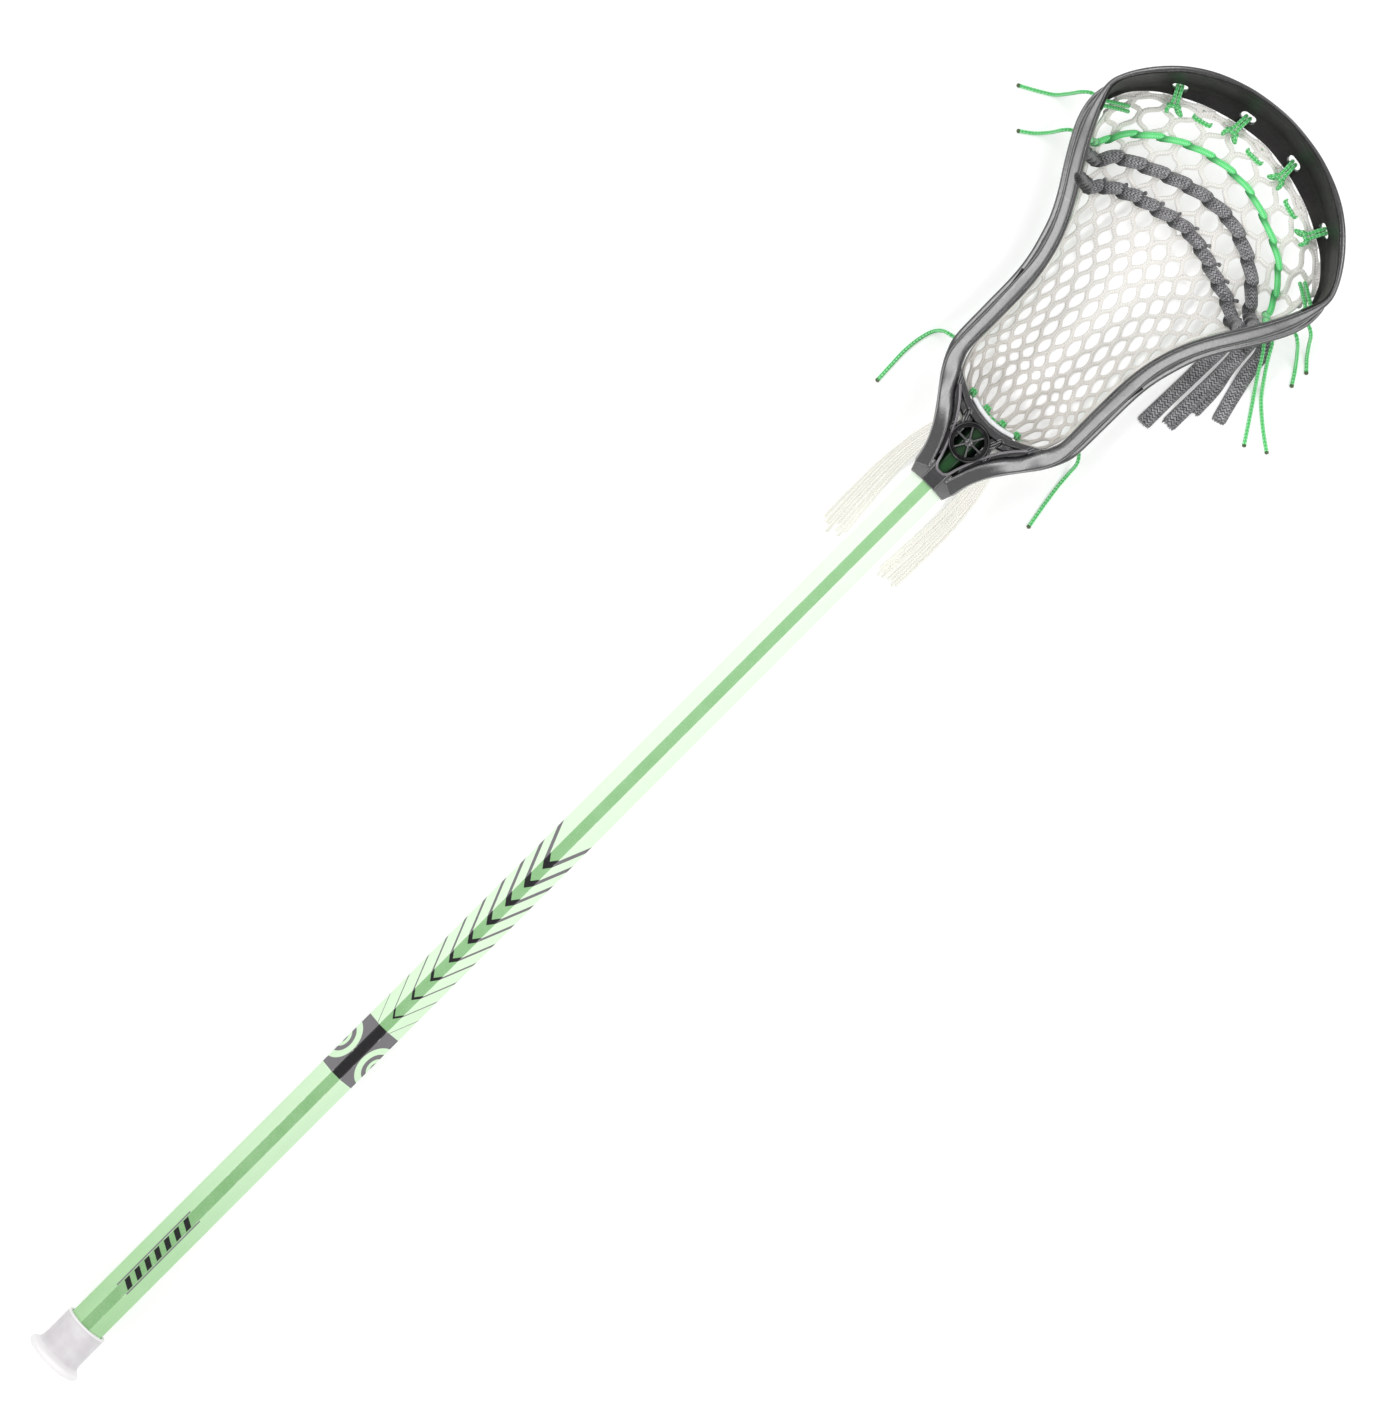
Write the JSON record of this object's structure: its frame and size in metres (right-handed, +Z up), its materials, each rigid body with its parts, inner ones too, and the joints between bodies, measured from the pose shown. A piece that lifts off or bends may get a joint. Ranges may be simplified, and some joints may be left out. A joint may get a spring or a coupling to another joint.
{
  "type": "lacrosse stick",
  "caption": "Lacrosse stick: eight-sided tubular handle with a push-on butt cap, a moulded open head with a scoop, and a strung mesh pocket with loose cord ends.",
  "frame": {"origin": "middle of the bottom of the stick's box as it lies on the ground, free cord ends left out", "axes": "+X along the stick from the butt cap to the scoop's tip, +Y to the left of the open face, +Z up, the side the open face looks to"},
  "size_m": [1.0146, 0.2605, 0.0909],
  "materials": {
    "shaft_paint": "satin pale green paint fading to mint, with printed dark bands",
    "cap_rubber": "smooth white rubber, half matt",
    "head_plastic": "charcoal moulded nylon, half gloss",
    "foam": "pale grey closed-cell foam",
    "mesh_knit": "off-white knitted polyester mesh",
    "cord_green": "braided green nylon cord with singed ends",
    "nylon_green": "thick twisted green nylon string",
    "lace_grey": "flat woven grey lace",
    "screw_steel": "zinc-plated pan head"
  },
  "bodies": {
    "stick": {"shaft_tube": "shaft_paint", "head_frame": "head_plastic", "ball_stop": "foam", "head_screw": "screw_steel", "mesh_pocket": "mesh_knit", "top_string": "cord_green", "sidewall_string_left": "cord_green", "sidewall_string_right": "cord_green", "bottom_string": "cord_green", "shooting_string_nylon": "nylon_green", "shooting_lace_upper": "lace_grey", "shooting_lace_lower": "lace_grey", "string_tail_1": "cord_green", "string_tail_2": "cord_green", "string_tail_3": "cord_green", "string_tail_4": "cord_green", "string_tail_5": "cord_green", "string_tail_6": "cord_green", "string_tail_7": "cord_green", "string_tail_8": "cord_green", "lace_tail_1": "lace_grey", "lace_tail_2": "lace_grey", "lace_tail_3": "lace_grey", "lace_tail_4": "lace_grey", "mesh_fringe_left": "mesh_knit", "mesh_fringe_right": "mesh_knit"},
    "cap": {"end_cap": "cap_rubber"}
  },
  "joints": [
    {"name": "end_cap_pull", "type": "slide", "parent": "stick", "child": "cap", "axis": [-0.9991, 0, -0.0429], "range_m": [0, 0.03]}
  ]
}
